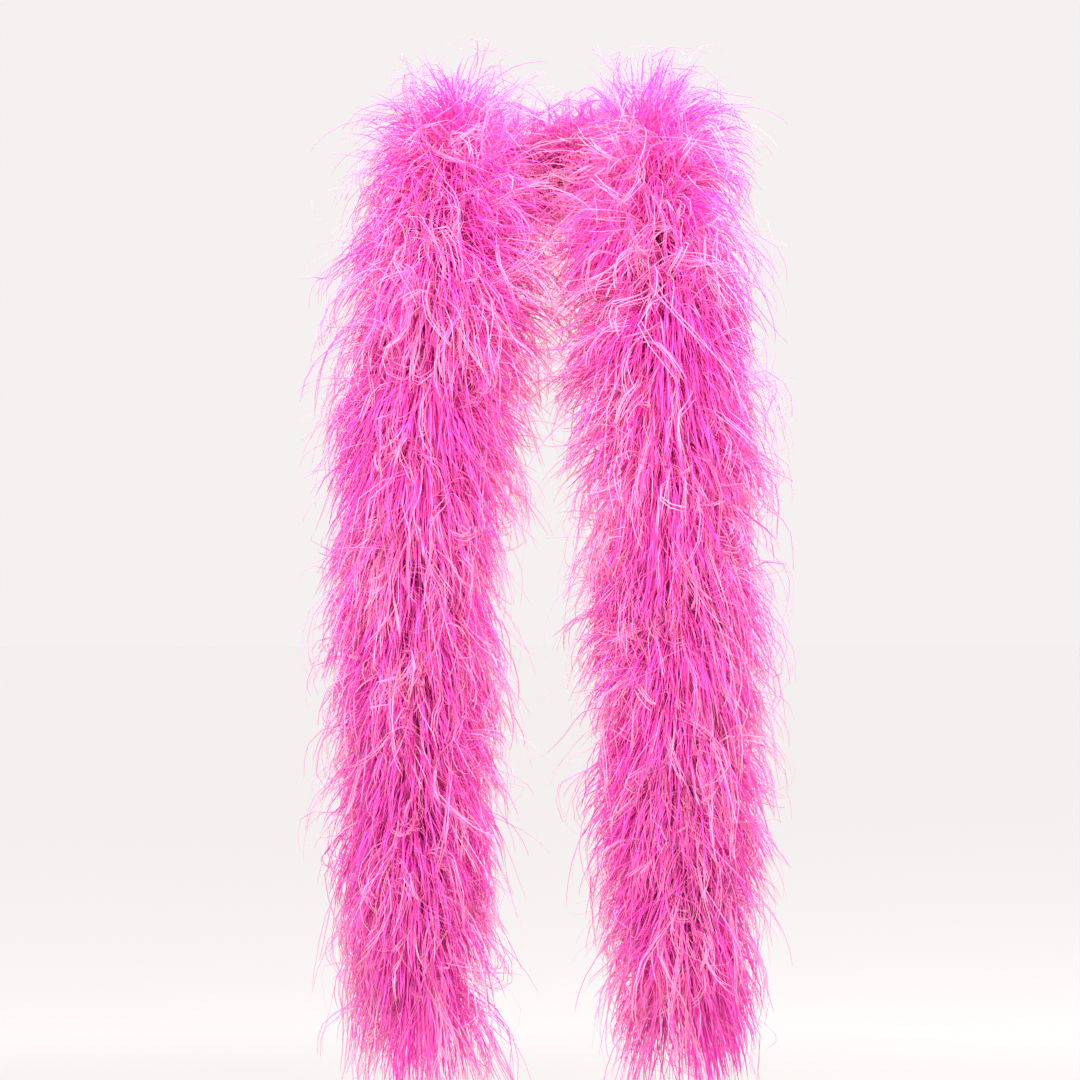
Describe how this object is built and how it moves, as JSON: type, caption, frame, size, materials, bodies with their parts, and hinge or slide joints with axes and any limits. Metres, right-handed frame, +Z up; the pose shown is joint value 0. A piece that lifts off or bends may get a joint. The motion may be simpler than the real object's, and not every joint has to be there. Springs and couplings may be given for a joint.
{
  "type": "feather boa",
  "caption": "Thick hot-pink ostrich feather boa, hung round the neck with both ends falling in front, bending along its length.",
  "frame": {"origin": "middle of the neck opening, level with the cord at the nape", "axes": "+Z up, -Y the wearer's front where both ends hang, +X to the right as seen from the front"},
  "size_m": [0.4564, 0.4226, 1.0094],
  "materials": {
    "ostrich_feather": "matte",
    "core_cord": "matte",
    "binding_thread": "satin"
  },
  "bodies": {
    "neck": {"neck_core_cord": "core_cord", "neck_ply_1": "ostrich_feather", "neck_ply_2": "ostrich_feather", "neck_ply_3": "ostrich_feather", "neck_ply_4": "ostrich_feather", "neck_ply_5": "ostrich_feather", "neck_ply_6": "ostrich_feather"},
    "left_upper": {"left_upper_core_cord": "core_cord", "left_upper_ply_1": "ostrich_feather", "left_upper_ply_2": "ostrich_feather", "left_upper_ply_3": "ostrich_feather", "left_upper_ply_4": "ostrich_feather", "left_upper_ply_5": "ostrich_feather", "left_upper_ply_6": "ostrich_feather"},
    "left_middle": {"left_middle_core_cord": "core_cord", "left_middle_ply_1": "ostrich_feather", "left_middle_ply_2": "ostrich_feather", "left_middle_ply_3": "ostrich_feather", "left_middle_ply_4": "ostrich_feather", "left_middle_ply_5": "ostrich_feather", "left_middle_ply_6": "ostrich_feather"},
    "left_lower": {"left_lower_core_cord": "core_cord", "left_lower_ply_1": "ostrich_feather", "left_lower_ply_2": "ostrich_feather", "left_lower_ply_3": "ostrich_feather", "left_lower_ply_4": "ostrich_feather", "left_lower_ply_5": "ostrich_feather", "left_lower_ply_6": "ostrich_feather", "left_end_whipping": "binding_thread", "left_end_knot": "core_cord"},
    "right_upper": {"right_upper_core_cord": "core_cord", "right_upper_ply_1": "ostrich_feather", "right_upper_ply_2": "ostrich_feather", "right_upper_ply_3": "ostrich_feather", "right_upper_ply_4": "ostrich_feather", "right_upper_ply_5": "ostrich_feather", "right_upper_ply_6": "ostrich_feather"},
    "right_middle": {"right_middle_core_cord": "core_cord", "right_middle_ply_1": "ostrich_feather", "right_middle_ply_2": "ostrich_feather", "right_middle_ply_3": "ostrich_feather", "right_middle_ply_4": "ostrich_feather", "right_middle_ply_5": "ostrich_feather", "right_middle_ply_6": "ostrich_feather"},
    "right_lower": {"right_lower_core_cord": "core_cord", "right_lower_ply_1": "ostrich_feather", "right_lower_ply_2": "ostrich_feather", "right_lower_ply_3": "ostrich_feather", "right_lower_ply_4": "ostrich_feather", "right_lower_ply_5": "ostrich_feather", "right_lower_ply_6": "ostrich_feather", "right_end_whipping": "binding_thread", "right_end_knot": "core_cord"}
  },
  "joints": [
    {"name": "left_shoulder_swing", "type": "hinge", "parent": "neck", "child": "left_upper", "pos_m": [-0.114, -0.13, -0.15], "axis": [-1, 0, 0], "range_deg": [-10, 30]},
    {"name": "left_waist_sway", "type": "hinge", "parent": "left_upper", "child": "left_middle", "pos_m": [-0.136, -0.142, -0.38], "axis": [0, 1, 0], "range_deg": [-5, 25]},
    {"name": "left_end_swing", "type": "hinge", "parent": "left_middle", "child": "left_lower", "pos_m": [-0.137, -0.142, -0.61], "axis": [-1, 0, 0], "range_deg": [-28, 28]},
    {"name": "right_shoulder_swing", "type": "hinge", "parent": "neck", "child": "right_upper", "pos_m": [0.114, -0.13, -0.15], "axis": [-1, 0, 0], "range_deg": [-10, 30]},
    {"name": "right_waist_sway", "type": "hinge", "parent": "right_upper", "child": "right_middle", "pos_m": [0.122, -0.142, -0.38], "axis": [0, -1, 0], "range_deg": [-5, 25]},
    {"name": "right_end_swing", "type": "hinge", "parent": "right_middle", "child": "right_lower", "pos_m": [0.125, -0.142, -0.61], "axis": [-1, 0, 0], "range_deg": [-28, 28]}
  ]
}
